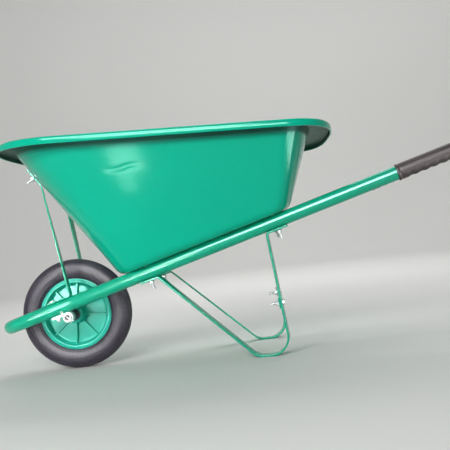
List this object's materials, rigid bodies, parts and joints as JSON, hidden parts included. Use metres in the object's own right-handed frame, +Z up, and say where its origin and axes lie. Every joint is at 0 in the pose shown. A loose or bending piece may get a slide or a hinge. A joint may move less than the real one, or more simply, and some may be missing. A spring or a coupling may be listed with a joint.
{
  "type": "wheelbarrow",
  "caption": "Garden wheelbarrow: deep moulded tray with a rolled rim, on a bent tube frame that loops round a solid-tyred wheel, with flat-bar legs and struts.",
  "frame": {"origin": "on the ground under the middle of the overall length and width", "axes": "+X runs back from the wheel to the grips, +Y is to the right of someone holding the grips and facing the wheel's far side, mirrored about y = 0, and +Z is up"},
  "size_m": [1.3098, 0.62, 0.6462],
  "materials": {
    "tray_plastic": "glossy moulded plastic",
    "frame_paint": "glossy powder coat",
    "wheel_plastic": "satin moulded plastic",
    "tyre_rubber": "matt solid rubber",
    "grip_rubber": "satin rubber",
    "zinc": "bright zinc plate",
    "nylon": "matt black nylon"
  },
  "bodies": {
    "frame": {"axle": "zinc", "axle_clip_left": "zinc", "axle_clip_right": "zinc", "axle_washer_left": "zinc", "axle_washer_right": "zinc", "brace_bolt_left": "zinc", "brace_bolt_right": "zinc", "brace_nut_left": "zinc", "brace_nut_right": "zinc", "clip_bolt_left": "zinc", "clip_bolt_right": "zinc", "clip_nut_left": "zinc", "clip_nut_right": "zinc", "frame_tube": "frame_paint", "grip_left": "grip_rubber", "grip_right": "grip_rubber", "leg_brace": "frame_paint", "leg_left": "frame_paint", "leg_right": "frame_paint", "spacer_left": "nylon", "spacer_right": "nylon", "split_pin_left": "zinc", "split_pin_right": "zinc", "strut_bolt_left": "zinc", "strut_bolt_right": "zinc", "strut_left": "frame_paint", "strut_nut_left": "zinc", "strut_nut_right": "zinc", "strut_right": "frame_paint", "strut_washer_left": "zinc", "strut_washer_right": "zinc", "tray": "tray_plastic", "tray_bolt_back_left": "zinc", "tray_bolt_back_right": "zinc", "tray_bolt_front_left": "zinc", "tray_bolt_front_right": "zinc", "tray_nut_back_left": "zinc", "tray_nut_back_right": "zinc", "tray_nut_front_left": "zinc", "tray_nut_front_right": "zinc", "tray_washer_back_left": "zinc", "tray_washer_back_right": "zinc", "tray_washer_front_left": "zinc", "tray_washer_front_right": "zinc"},
    "wheel": {"tyre": "tyre_rubber", "wheel_bush_left": "nylon", "wheel_bush_right": "nylon", "wheel_rim": "wheel_plastic"}
  },
  "joints": [
    {"name": "wheel_spin", "type": "hinge", "parent": "frame", "child": "wheel", "pos_m": [-0.44206, 0, 0.16], "axis": [0, 1, 0], "continuous": true}
  ]
}
